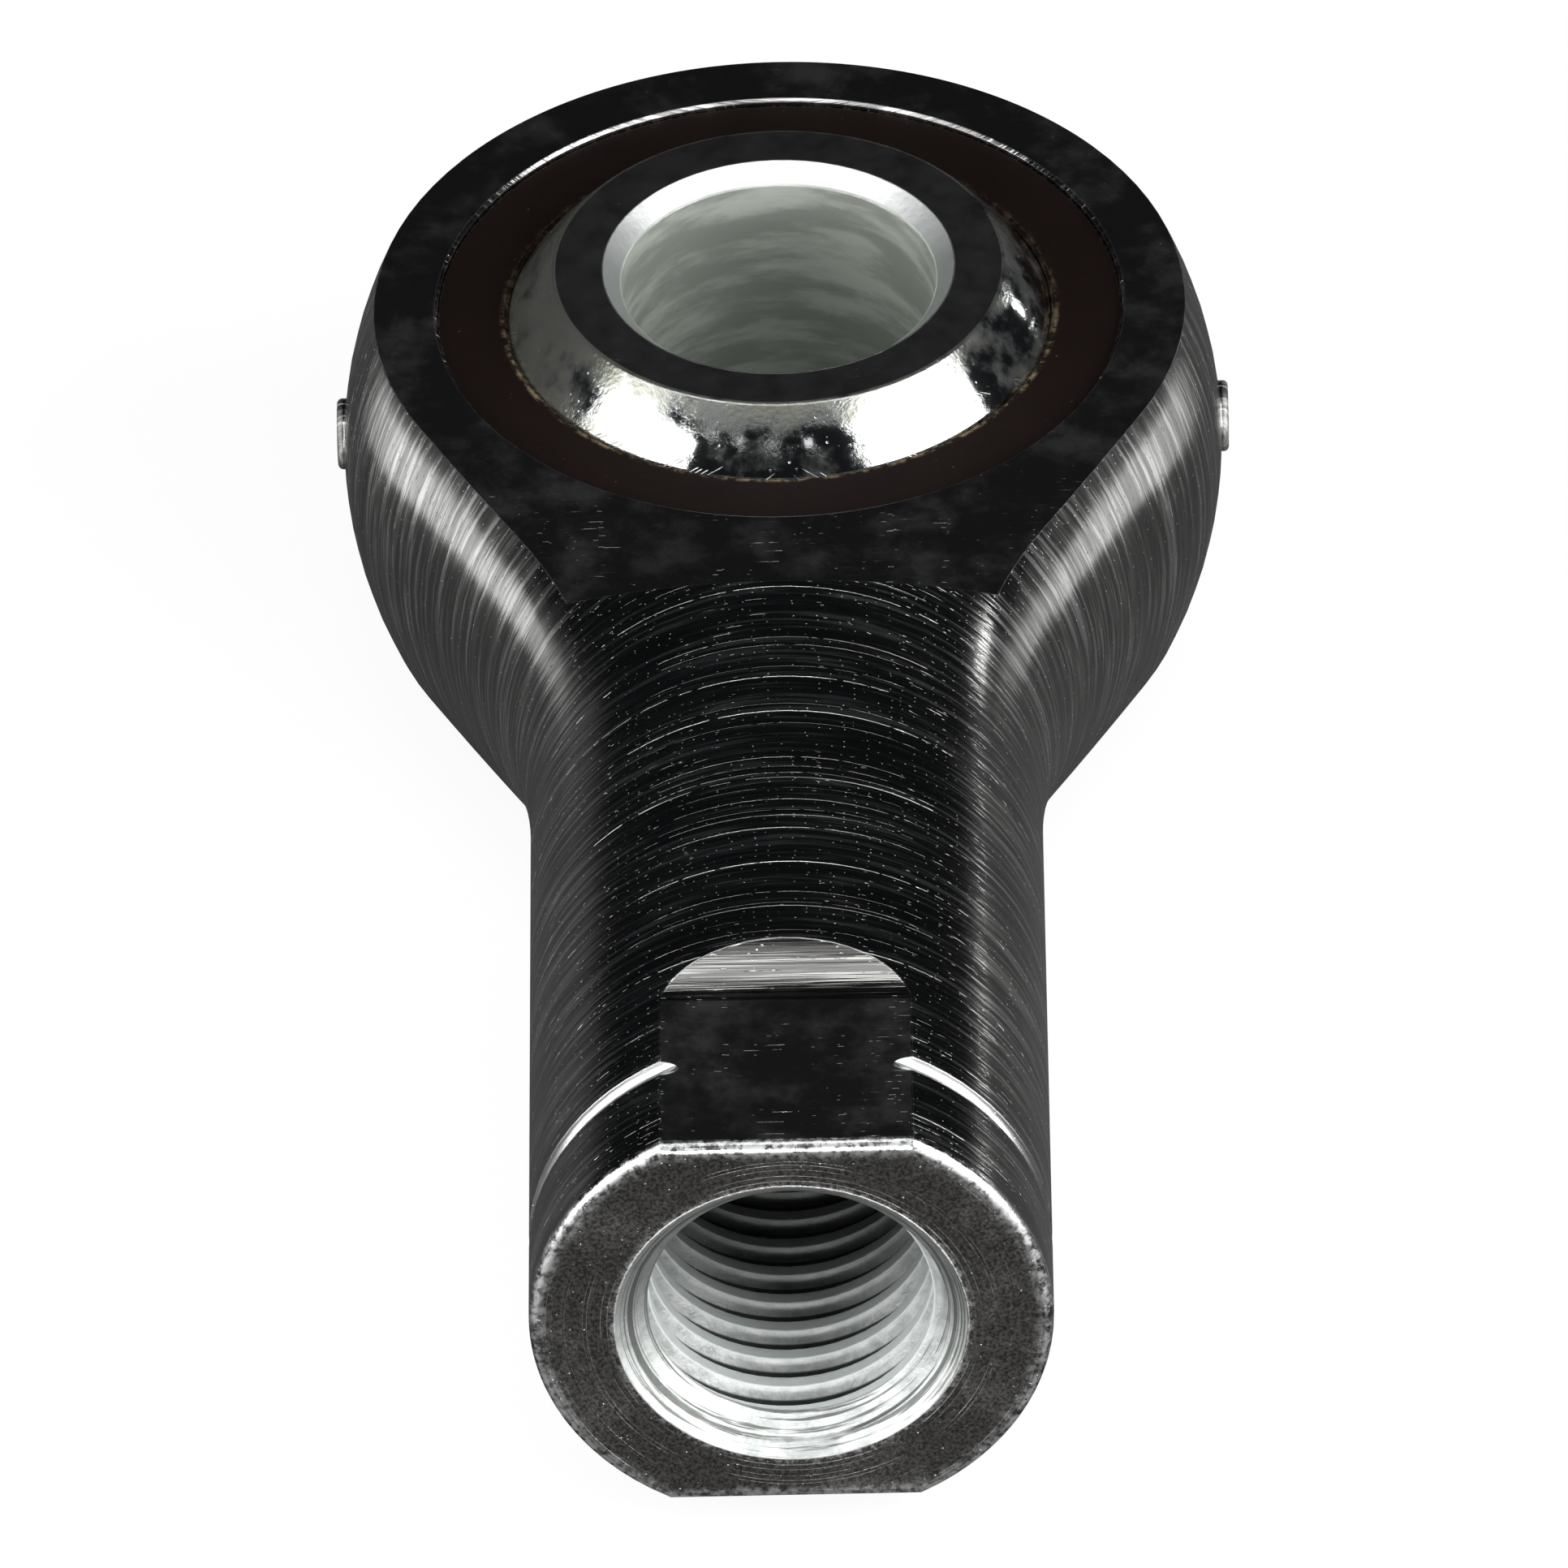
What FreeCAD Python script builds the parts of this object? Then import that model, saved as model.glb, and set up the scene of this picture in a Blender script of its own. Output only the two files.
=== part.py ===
import FreeCAD, Part
import math
import os

import Sketcher
from FreeCAD import Vector

# Female rod end bearing, size 5 (5/16 in), left-hand thread.
# Frame: origin at the centre of the ball, +Z along the bore of the ball, +Y away from the shank,
# so the shank points to -Y and its axis is the Y axis. Millimetres.

OUT = "parts"
INCH = 25.4

# The driving dimensions. Every size of the document is bound to one of these cells.
DIMENSIONS = {
    # how far a cutting profile reaches past the face it cuts
    "cut_overshoot": 1.0,
    # housing: ball head turned on the shank axis
    "head_radius": 0.875 * INCH / 2,
    "head_width": 8.64,
    "base_to_centre": 1.375 * INCH,
    "shank_radius": 0.500 * INCH / 2,
    "neck_angle": 25.5,
    "neck_blend_radius": 16.0,
    "ramp_start": 12.05,
    "ramp_angle": 47.0,
    "end_edge_round": 0.28,
    "nub_radius": 0.9,
    "nub_reach": 11.29,
    "nub_offset": 0.65,
    "nub_rim_round": 0.13,
    # housing: wrench flats and the ring that marks a left-hand thread
    "wrench_across_flats": 11.13,
    "wrench_flat_length": 5.45,
    "wrench_runout_radius": 1.9,
    "marker_from_end": 3.02,
    "marker_radius": 0.26,
    "marker_depth": 0.21,
    # housing: bore for the race
    "race_bore_radius": 8.63,
    "race_bore_edge_break": 0.08,
    "retention_depth": 0.30,
    "retention_width": 1.60,
    # housing: 5/16-24 UNF thread, left hand
    "thread_pitch": INCH / 24,
    "thread_major_radius": 0.3125 * INCH / 2,
    "thread_minor_radius": 3.454,
    "thread_root_flat": 0.13,
    "thread_depth": 17.5,
    "thread_lead_in": 1.51,
    "thread_cutter_radius": 3.2,
    "drill_tail_radius": 3.435,
    "drill_tail_length": 1.9,
    "drill_point_angle": 59.0,
    "countersink_radius": 4.27,
    "countersink_angle": 45.0,
    # race: moulded liner between the head and the ball
    "race_outer_radius": 8.61,
    "race_width": 8.26,
    "race_running_gap": 0.02,
    "race_lip_break": 0.10,
    "rib_gap": 0.02,
    # ball
    "ball_radius": 0.625 * INCH / 2,
    "ball_width": 0.437 * INCH,
    "ball_bore_radius": 0.3125 * INCH / 2,
    "ball_chamfer": 0.46,
    "ball_edge_round": 0.12,
}


def make_sheet(doc):
    """The spreadsheet that drives every size."""
    sheet = doc.addObject("Spreadsheet::Sheet", "dims")
    for row, (alias, value) in enumerate(DIMENSIONS.items(), start=1):
        sheet.set(f"A{row}", alias)
        sheet.set(f"B{row}", str(round(value, 6)))
        sheet.setAlias(f"B{row}", alias)
    doc.recompute()
    return sheet


def origin_feature(body, role):
    return next(item for item in body.Origin.OriginFeatures if item.Role == role)


def add_sketch(body, name, role):
    """A sketch on one of the body's own origin planes."""
    sketch = body.newObject("Sketcher::SketchObject", name)
    sketch.AttachmentSupport = [(origin_feature(body, role), "")]
    sketch.MapMode = "FlatFace"
    return sketch


def add_constraint(sketch, *values, name=None, cell=None):
    """Add a constraint; a named one takes its value from the sheet."""
    index = sketch.addConstraint(Sketcher.Constraint(*values))
    if name:
        sketch.renameConstraint(index, name)
        sketch.setExpression(f"Constraints.{name}", cell)
    return index


def line(sketch, start, end):
    return sketch.addGeometry(Part.LineSegment(Vector(*start, 0), Vector(*end, 0)), False)


def arc(sketch, centre, radius, start_angle, end_angle):
    """Counter-clockwise arc; angles in degrees."""
    circle = Part.Circle(Vector(*centre, 0), Vector(0, 0, 1), radius)
    return sketch.addGeometry(
        Part.ArcOfCircle(circle, math.radians(start_angle), math.radians(end_angle)), False)


def join(sketch, *pairs):
    """Make end points coincide; a pair is (geometry, point, geometry, point)."""
    for pair in pairs:
        add_constraint(sketch, "Coincident", *pair)


def close_polygon(sketch, corners):
    """Lines through the corners, joined end to start."""
    count = len(corners)
    sides = [line(sketch, corners[i], corners[(i + 1) % count]) for i in range(count)]
    join(sketch, *((sides[i], 2, sides[(i + 1) % count], 1) for i in range(count)))
    return sides


def revolve(body, kind, name, sketch, angle=360.0):
    """Turn a sketch about its own vertical axis."""
    feature = body.newObject(f"PartDesign::{kind}", name)
    feature.Profile = sketch
    feature.ReferenceAxis = (sketch, ["V_Axis"])
    feature.Angle = angle
    return feature


def mirror(body, name, original):
    """Repeat a cut on the other side of the XY plane."""
    feature = body.newObject("PartDesign::Mirrored", name)
    feature.Originals = [original]
    feature.MirrorPlane = (origin_feature(body, "XY_Plane"), [""])
    body.Tip = feature
    return feature


def cut_through(body, name, sketch):
    """A pocket through everything, both ways from its sketch."""
    feature = body.newObject("PartDesign::Pocket", name)
    feature.Profile = sketch
    feature.SideType = "Symmetric"
    feature.Type = "ThroughAll"
    return feature


def edge_names(shape, wanted):
    """Names of the edges whose bounding box passes the test."""
    return [f"Edge{i}" for i, edge in enumerate(shape.Edges, start=1) if wanted(edge.BoundBox)]


def check_cut(doc, body, before, name):
    """A cut that removed nothing points the wrong way."""
    doc.recompute()
    after = body.Shape.Volume
    if after >= before - 1e-3:
        raise RuntimeError(f"{name} removed nothing")
    return after


# ---------------------------------------------------------------- housing

def housing_turned_blank(body, sheet):
    """Ball head, cone neck and shank, turned about the Y axis."""
    head, shank = sheet.head_radius, sheet.shank_radius
    length, blend = sheet.base_to_centre, sheet.neck_blend_radius
    angle = math.radians(sheet.neck_angle)
    cone_start = (head * math.cos(angle), -head * math.sin(angle))
    blend_x = shank + blend
    cone_end_x = blend_x - blend * math.cos(angle)
    cone_end_y = cone_start[1] - (cone_start[0] - cone_end_x) / math.tan(angle)
    blend_y = cone_end_y - blend * math.sin(angle)

    sketch = add_sketch(body, "turned_profile", "XY_Plane")
    sphere = arc(sketch, (0, 0), head, -math.degrees(angle), 90)
    cone = line(sketch, cone_start, (cone_end_x, cone_end_y))
    neck = arc(sketch, (blend_x, blend_y), blend, 180 - math.degrees(angle), 180)
    side = line(sketch, (shank, blend_y), (shank, -length))
    end = line(sketch, (shank, -length), (0, -length))
    axis = line(sketch, (0, -length), (0, head))
    join(sketch, (sphere, 3, -1, 1), (side, 2, end, 1), (end, 2, axis, 1), (axis, 2, sphere, 2))
    add_constraint(sketch, "Tangent", sphere, 1, cone, 1)
    add_constraint(sketch, "Tangent", cone, 2, neck, 1)
    add_constraint(sketch, "Tangent", neck, 2, side, 1)
    add_constraint(sketch, "Vertical", side)
    add_constraint(sketch, "Horizontal", end)
    add_constraint(sketch, "PointOnObject", axis, 1, -2)
    add_constraint(sketch, "PointOnObject", axis, 2, -2)
    add_constraint(sketch, "Radius", sphere, head, name="head", cell="dims.head_radius")
    add_constraint(sketch, "Radius", neck, blend, name="blend", cell="dims.neck_blend_radius")
    add_constraint(sketch, "DistanceX", -1, 1, side, 2, shank, name="shank", cell="dims.shank_radius")
    add_constraint(sketch, "DistanceY", end, 2, -1, 1, length, name="length",
                   cell="dims.base_to_centre")
    add_constraint(sketch, "Angle", cone, 2, -2, 1, angle, name="cone", cell="dims.neck_angle * 1 deg")
    revolve(body, "Revolution", "turned_blank", sketch)


def housing_nubs(doc, body, sheet):
    """Two low round-rimmed witness marks on the widest line of the head."""
    sketch = add_sketch(body, "nub_outline", "YZ_Plane")
    nub = sketch.addGeometry(Part.Circle(Vector(sheet.nub_offset, 0, 0), Vector(0, 0, 1),
                                         sheet.nub_radius), False)
    add_constraint(sketch, "PointOnObject", nub, 3, -1)
    add_constraint(sketch, "Radius", nub, sheet.nub_radius, name="nub", cell="dims.nub_radius")
    add_constraint(sketch, "DistanceX", -1, 1, nub, 3, sheet.nub_offset, name="offset",
                   cell="dims.nub_offset")
    pad = body.newObject("PartDesign::Pad", "witness_nubs")
    pad.Profile = sketch
    pad.SideType = "Symmetric"
    pad.setExpression("Length", "2 * dims.nub_reach")
    doc.recompute()
    rims = edge_names(body.Shape, lambda box: min(abs(box.XMin), abs(box.XMax)) > sheet.nub_reach - 1e-4)
    rounding = body.newObject("PartDesign::Fillet", "nub_rims")
    rounding.Base = (pad, rims)
    rounding.setExpression("Radius", "dims.nub_rim_round")


def housing_head_flats(body, sheet):
    """The two faces of the head, each ending in a ramp up to the shank."""
    half, top = sheet.head_width / 2, sheet.head_radius + sheet.cut_overshoot
    start, slope = -sheet.ramp_start, math.tan(math.radians(sheet.ramp_angle))
    ramp_end = start - (top - half) / slope
    sketch = add_sketch(body, "head_flat_outline", "YZ_Plane")
    base, back, roof, ramp = close_polygon(
        sketch, [(start, half), (top, half), (top, top), (ramp_end, top)])
    add_constraint(sketch, "Horizontal", base)
    add_constraint(sketch, "Vertical", back)
    add_constraint(sketch, "Horizontal", roof)
    add_constraint(sketch, "DistanceY", -1, 1, base, 1, half, name="half_width",
                   cell="dims.head_width / 2")
    add_constraint(sketch, "DistanceX", base, 1, -1, 1, -start, name="ramp_start",
                   cell="dims.ramp_start")
    reach = "dims.head_radius + dims.cut_overshoot"
    add_constraint(sketch, "DistanceX", -1, 1, base, 2, top, name="reach", cell=reach)
    add_constraint(sketch, "DistanceY", -1, 1, back, 2, top, name="height", cell=reach)
    add_constraint(sketch, "DistanceX", roof, 2, base, 1, start - ramp_end, name="ramp_run",
                   cell=f"({reach} - dims.head_width / 2) / tan(dims.ramp_angle * 1 deg)")
    upper = cut_through(body, "head_flat", sketch)
    mirror(body, "head_flats", upper)


def housing_wrench_flats(body, sheet):
    """Two flats for a spanner at the end of the shank, with a rounded run-out."""
    half, radius = sheet.wrench_across_flats / 2, sheet.wrench_runout_radius
    end = -sheet.base_to_centre - sheet.cut_overshoot
    stop = sheet.wrench_flat_length - sheet.base_to_centre
    sketch = add_sketch(body, "wrench_flat_outline", "YZ_Plane")
    flat = line(sketch, (end, half), (stop, half))
    runout = arc(sketch, (stop, half + radius), radius, 270, 360)
    roof = line(sketch, (stop + radius, half + radius), (end, half + radius))
    back = line(sketch, (end, half + radius), (end, half))
    join(sketch, (runout, 2, roof, 1), (roof, 2, back, 1), (back, 2, flat, 1))
    add_constraint(sketch, "Tangent", flat, 2, runout, 1)
    add_constraint(sketch, "Horizontal", flat)
    add_constraint(sketch, "Horizontal", roof)
    add_constraint(sketch, "Vertical", back)
    add_constraint(sketch, "Horizontal", runout, 3, runout, 2)
    add_constraint(sketch, "Radius", runout, radius, name="runout", cell="dims.wrench_runout_radius")
    add_constraint(sketch, "DistanceY", -1, 1, flat, 1, half, name="half_width",
                   cell="dims.wrench_across_flats / 2")
    add_constraint(sketch, "DistanceX", flat, 2, -1, 1, -stop, name="stop",
                   cell="dims.base_to_centre - dims.wrench_flat_length")
    add_constraint(sketch, "DistanceX", flat, 1, -1, 1, -end, name="overshoot",
                   cell="dims.base_to_centre + dims.cut_overshoot")
    upper = cut_through(body, "wrench_flat", sketch)
    mirror(body, "wrench_flats", upper)


def housing_edge_round(doc, body, sheet):
    """The rounded edge all round the end face of the shank."""
    doc.recompute()
    last, end = body.Tip, -sheet.base_to_centre
    outline = edge_names(body.Shape,
                         lambda box: abs(box.YMin - end) < 1e-4 and abs(box.YMax - end) < 1e-4)
    fillet = body.newObject("PartDesign::Fillet", "end_edge_round")
    fillet.Base = (last, outline)
    fillet.setExpression("Radius", "dims.end_edge_round")


def housing_marker_groove(body, sheet):
    """The round-bottomed ring groove that marks a left-hand thread."""
    radius = sheet.marker_radius
    out = sheet.shank_radius + radius - sheet.marker_depth
    place = sheet.marker_from_end - sheet.base_to_centre
    sketch = add_sketch(body, "marker_profile", "XY_Plane")
    ring = sketch.addGeometry(Part.Circle(Vector(out, place, 0), Vector(0, 0, 1), radius), False)
    add_constraint(sketch, "Radius", ring, radius, name="ring", cell="dims.marker_radius")
    add_constraint(sketch, "DistanceX", -1, 1, ring, 3, out, name="out",
                   cell="dims.shank_radius + dims.marker_radius - dims.marker_depth")
    add_constraint(sketch, "DistanceY", ring, 3, -1, 1, -place, name="place",
                   cell="dims.base_to_centre - dims.marker_from_end")
    revolve(body, "Groove", "marker_groove", sketch)


def housing_race_bore(body, sheet):
    """The bore through the head, with broken edges and a groove that holds the moulded race."""
    bore, edge, half = sheet.race_bore_radius, sheet.race_bore_edge_break, sheet.head_width / 2
    depth, width, beyond = sheet.retention_depth, sheet.retention_width, sheet.cut_overshoot
    sketch = add_sketch(body, "race_bore_profile", "XZ_Plane")
    right = [(bore, width / 2), (bore, half - edge), (bore + edge, half), (bore + edge, half + beyond)]
    corners = [(bore, -width / 2), (bore + depth, depth - width / 2), (bore + depth, width / 2 - depth)]
    corners += right + [(0, half + beyond), (0, -half - beyond)]
    corners += [(x, -z) for x, z in reversed(right[1:])]
    above = "dims.head_width / 2 + dims.cut_overshoot"
    below = "-dims.head_width / 2 - dims.cut_overshoot"
    cells = {
        0: ("dims.race_bore_radius", "-dims.retention_width / 2"),
        1: ("dims.race_bore_radius + dims.retention_depth",
            "dims.retention_depth - dims.retention_width / 2"),
        2: ("dims.race_bore_radius + dims.retention_depth",
            "dims.retention_width / 2 - dims.retention_depth"),
        3: ("dims.race_bore_radius", "dims.retention_width / 2"),
        4: ("dims.race_bore_radius", "dims.head_width / 2 - dims.race_bore_edge_break"),
        5: ("dims.race_bore_radius + dims.race_bore_edge_break", "dims.head_width / 2"),
        6: ("dims.race_bore_radius + dims.race_bore_edge_break", above),
        7: (None, above),
        8: (None, below),
        9: ("dims.race_bore_radius + dims.race_bore_edge_break", below),
        10: ("dims.race_bore_radius + dims.race_bore_edge_break", "-dims.head_width / 2"),
        11: ("dims.race_bore_radius", "dims.race_bore_edge_break - dims.head_width / 2"),
    }
    place_corners(sketch, close_polygon(sketch, corners), corners, cells)
    revolve(body, "Groove", "race_bore", sketch)


def place_corners(sketch, sides, corners, cells):
    """Tie each corner of a polygon to the sheet; None keeps the corner on the V axis."""
    for index, (cell_x, cell_y) in cells.items():
        x, y = corners[index]
        if cell_x is None:
            add_constraint(sketch, "PointOnObject", sides[index], 1, -2)
        else:
            add_constraint(sketch, "DistanceX", -1, 1, sides[index], 1, x, name=f"x{index}", cell=cell_x)
        add_constraint(sketch, "DistanceY", -1, 1, sides[index], 1, y, name=f"y{index}", cell=cell_y)


def housing_tapped_hole(body, sheet):
    """Countersink, tap drill, and the drill's tail with its cone point, as two half turns.

    Split walls leave every half turn of the thread's crest as a face of its own.
    """
    end, cs = -sheet.base_to_centre, sheet.countersink_radius
    outside = end - sheet.cut_overshoot
    minor, tail = sheet.thread_minor_radius, sheet.drill_tail_radius
    cs_depth = (cs - minor) / math.tan(math.radians(sheet.countersink_angle))
    thread_end = end + sheet.thread_depth
    tail_end = thread_end + sheet.drill_tail_length
    point = tail_end + tail / math.tan(math.radians(sheet.drill_point_angle))
    mouth = "-dims.base_to_centre"
    floor = "dims.thread_depth - dims.base_to_centre"
    corners = [(0, outside), (cs, outside), (cs, end), (minor, end + cs_depth), (minor, thread_end),
               (tail, thread_end), (tail, tail_end), (0, point)]
    cells = {
        0: (None, f"{mouth} - dims.cut_overshoot"),
        1: ("dims.countersink_radius", f"{mouth} - dims.cut_overshoot"),
        2: ("dims.countersink_radius", mouth),
        3: ("dims.thread_minor_radius",
            f"{mouth} + (dims.countersink_radius - dims.thread_minor_radius)"
            " / tan(dims.countersink_angle * 1 deg)"),
        4: ("dims.thread_minor_radius", floor),
        5: ("dims.drill_tail_radius", floor),
        6: ("dims.drill_tail_radius", f"{floor} + dims.drill_tail_length"),
        7: (None, f"{floor} + dims.drill_tail_length"
                  " + dims.drill_tail_radius / tan(dims.drill_point_angle * 1 deg)"),
    }
    sketch = add_sketch(body, "hole_profile", "XY_Plane")
    place_corners(sketch, close_polygon(sketch, corners), corners, cells)
    for name, other_way in (("tap_drill_hole_upper", False), ("tap_drill_hole_lower", True)):
        half = revolve(body, "Groove", name, sketch, angle=180.0)
        half.Reversed = other_way
        half.Refine = False


def housing_thread(body, sheet):
    """The 60 degree left-hand thread, cut as a helix from outside the mouth inwards."""
    major, inner, flat = sheet.thread_major_radius, sheet.thread_cutter_radius, sheet.thread_root_flat
    spread = flat / 2 + (major - inner) * math.tan(math.radians(30))
    start = -sheet.base_to_centre - sheet.thread_lead_in
    half_flat = "dims.thread_root_flat / 2"
    half_mouth = f"({half_flat} + (dims.thread_major_radius - dims.thread_cutter_radius) * tan(30 deg))"
    base = "-dims.base_to_centre - dims.thread_lead_in"
    corners = [(inner, start - spread), (major, start - flat / 2), (major, start + flat / 2),
               (inner, start + spread)]
    cells = {
        0: ("dims.thread_cutter_radius", f"{base} - {half_mouth}"),
        1: ("dims.thread_major_radius", f"{base} - {half_flat}"),
        2: ("dims.thread_major_radius", f"{base} + {half_flat}"),
        3: ("dims.thread_cutter_radius", f"{base} + {half_mouth}"),
    }
    sketch = add_sketch(body, "thread_profile", "XY_Plane")
    place_corners(sketch, close_polygon(sketch, corners), corners, cells)
    helix = body.newObject("PartDesign::SubtractiveHelix", "thread")
    helix.Profile = sketch
    helix.ReferenceAxis = (sketch, ["V_Axis"])
    helix.Mode = "pitch-height-angle"
    helix.setExpression("Pitch", "dims.thread_pitch")
    helix.setExpression("Height", "dims.thread_depth + dims.thread_lead_in - dims.thread_pitch")
    helix.LeftHanded = True
    helix.Refine = False


def make_housing(doc, sheet):
    body = doc.addObject("PartDesign::Body", "housing_body")
    body.Label = "housing"
    housing_turned_blank(body, sheet)
    housing_nubs(doc, body, sheet)
    doc.recompute()
    volume = body.Shape.Volume
    housing_head_flats(body, sheet)
    volume = check_cut(doc, body, volume, "head flats")
    housing_wrench_flats(body, sheet)
    volume = check_cut(doc, body, volume, "wrench flats")
    housing_edge_round(doc, body, sheet)
    volume = check_cut(doc, body, volume, "end edge round")
    housing_marker_groove(body, sheet)
    volume = check_cut(doc, body, volume, "marker groove")
    housing_race_bore(body, sheet)
    volume = check_cut(doc, body, volume, "race bore")
    housing_tapped_hole(body, sheet)
    volume = check_cut(doc, body, volume, "tap drill hole")
    housing_thread(body, sheet)
    check_cut(doc, body, volume, "thread")
    return body


# ---------------------------------------------------------------- race

def make_race(doc, sheet):
    """The liner: plain outside with one rib, spherical inside, turned about the Z axis."""
    outer, half = sheet.race_outer_radius, sheet.race_width / 2
    sphere, lip = sheet.ball_radius + sheet.race_running_gap, sheet.race_lip_break
    gap, depth, width = sheet.rib_gap, sheet.retention_depth, sheet.retention_width
    edge_z = half - lip
    edge_x = math.sqrt(sphere ** 2 - edge_z ** 2)
    rib, rib_half = outer + depth, width / 2 - gap

    body = doc.addObject("PartDesign::Body", "race_body")
    body.Label = "race"
    sketch = add_sketch(body, "race_profile", "XZ_Plane")
    angle = math.degrees(math.asin(edge_z / sphere))
    inside = arc(sketch, (0, 0), sphere, -angle, angle)
    points = [(edge_x, edge_z), (edge_x + lip, half), (outer, half), (outer, rib_half),
              (rib, rib_half - depth), (rib, depth - rib_half), (outer, -rib_half), (outer, -half),
              (edge_x + lip, -half), (edge_x, -edge_z)]
    sides = [line(sketch, points[i], points[i + 1]) for i in range(len(points) - 1)]
    join(sketch, (inside, 3, -1, 1), (inside, 2, sides[0], 1), (sides[-1], 2, inside, 1))
    join(sketch, *((sides[i], 2, sides[i + 1], 1) for i in range(len(sides) - 1)))
    add_constraint(sketch, "Radius", inside, sphere, name="sphere",
                   cell="dims.ball_radius + dims.race_running_gap")
    outline = {
        2: ("dims.race_outer_radius", "dims.race_width / 2"),
        3: ("dims.race_outer_radius", "dims.retention_width / 2 - dims.rib_gap"),
        4: ("dims.race_outer_radius + dims.retention_depth",
            "dims.retention_width / 2 - dims.rib_gap - dims.retention_depth"),
        5: ("dims.race_outer_radius + dims.retention_depth",
            "dims.retention_depth - dims.retention_width / 2 + dims.rib_gap"),
        6: ("dims.race_outer_radius", "dims.rib_gap - dims.retention_width / 2"),
        7: ("dims.race_outer_radius", "-dims.race_width / 2"),
    }
    place_corners(sketch, sides, points, outline)
    for side, point, sign in ((sides[0], 1, 1), (sides[-1], 2, -1)):
        add_constraint(sketch, "DistanceY", -1, 1, side, point, sign * edge_z, name=f"lip{point}",
                       cell=f"{sign} * (dims.race_width / 2 - dims.race_lip_break)")
    for side, first, second in ((sides[0], 1, 2), (sides[-1], 2, 1)):
        add_constraint(sketch, "DistanceX", side, first, side, second, lip, name=f"lip_run{first}",
                       cell="dims.race_lip_break")
    for side in (sides[1], sides[-2]):
        add_constraint(sketch, "Horizontal", side)
    revolve(body, "Revolution", "race_ring", sketch)
    doc.recompute()
    return body


# ---------------------------------------------------------------- ball

def make_ball(doc, sheet):
    """A ball with two flat ends and a chamfered bore, turned about the Z axis."""
    radius, half = sheet.ball_radius, sheet.ball_width / 2
    bore, chamfer = sheet.ball_bore_radius, sheet.ball_chamfer
    flat_x = math.sqrt(radius ** 2 - half ** 2)

    body = doc.addObject("PartDesign::Body", "ball_body")
    body.Label = "ball"
    sketch = add_sketch(body, "ball_profile", "XZ_Plane")
    angle = math.degrees(math.asin(half / radius))
    outside = arc(sketch, (0, 0), radius, -angle, angle)
    points = [(flat_x, half), (bore + chamfer, half), (bore, half - chamfer),
              (bore, chamfer - half), (bore + chamfer, -half), (flat_x, -half)]
    sides = [line(sketch, points[i], points[i + 1]) for i in range(len(points) - 1)]
    join(sketch, (outside, 3, -1, 1), (outside, 2, sides[0], 1), (sides[-1], 2, outside, 1))
    join(sketch, *((sides[i], 2, sides[i + 1], 1) for i in range(len(sides) - 1)))
    add_constraint(sketch, "Radius", outside, radius, name="ball", cell="dims.ball_radius")
    outline = {
        1: ("dims.ball_bore_radius + dims.ball_chamfer", "dims.ball_width / 2"),
        2: ("dims.ball_bore_radius", "dims.ball_width / 2 - dims.ball_chamfer"),
        3: ("dims.ball_bore_radius", "dims.ball_chamfer - dims.ball_width / 2"),
        4: ("dims.ball_bore_radius + dims.ball_chamfer", "-dims.ball_width / 2"),
    }
    place_corners(sketch, sides, points, outline)
    add_constraint(sketch, "Horizontal", sides[0])
    add_constraint(sketch, "Horizontal", sides[-1])
    solid = revolve(body, "Revolution", "turned_ball", sketch)
    doc.recompute()
    rims = edge_names(body.Shape, lambda box: box.ZLength < 1e-6 and abs(box.XMax - flat_x) < 1e-3)
    rounding = body.newObject("PartDesign::Fillet", "edge_rounds")
    rounding.Base = (solid, rims)
    rounding.setExpression("Radius", "dims.ball_edge_round")
    doc.recompute()
    return body


# ---------------------------------------------------------------- document

def check(doc, bodies):
    """Stop before anything is written if an object failed."""
    for item in doc.Objects:
        if any(flag in item.State for flag in ("Invalid", "Error")):
            raise RuntimeError(f"{item.Name} is in state {item.State}")
    for body in bodies:
        shape = body.Shape
        if shape.isNull() or not shape.isValid() or len(shape.Solids) != 1:
            raise RuntimeError(f"{body.Label} is not one valid solid")


def main():
    doc = FreeCAD.newDocument("rod_end")
    sheet = make_sheet(doc)
    bodies = [make_housing(doc, sheet), make_race(doc, sheet), make_ball(doc, sheet)]
    for body in bodies:
        body.Placement = FreeCAD.Placement()
    doc.recompute()
    check(doc, bodies)
    os.makedirs(OUT, exist_ok=True)
    for body in bodies:
        body.Shape.exportStep(os.path.join(OUT, f"{body.Label}.step"))


main()
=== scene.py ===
"""Materials, light and camera for the rod end bearing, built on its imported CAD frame."""

import math

import bpy
from mathutils import Matrix, Vector


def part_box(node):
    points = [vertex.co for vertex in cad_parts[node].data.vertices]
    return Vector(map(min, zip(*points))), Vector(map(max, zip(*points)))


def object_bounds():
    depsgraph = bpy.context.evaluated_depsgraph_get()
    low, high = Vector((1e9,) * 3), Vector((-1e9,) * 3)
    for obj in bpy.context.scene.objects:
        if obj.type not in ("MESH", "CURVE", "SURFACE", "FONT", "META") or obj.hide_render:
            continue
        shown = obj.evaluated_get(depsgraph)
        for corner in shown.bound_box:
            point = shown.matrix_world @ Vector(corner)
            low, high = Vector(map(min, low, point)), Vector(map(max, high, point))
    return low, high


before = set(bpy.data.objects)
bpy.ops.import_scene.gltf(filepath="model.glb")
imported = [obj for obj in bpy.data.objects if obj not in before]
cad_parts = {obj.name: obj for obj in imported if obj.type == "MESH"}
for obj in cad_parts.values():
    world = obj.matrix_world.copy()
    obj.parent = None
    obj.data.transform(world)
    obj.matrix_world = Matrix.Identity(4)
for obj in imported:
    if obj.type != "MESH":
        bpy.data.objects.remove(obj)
cad_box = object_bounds()

MM = 0.001
PER_MM = 1000.0

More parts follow.
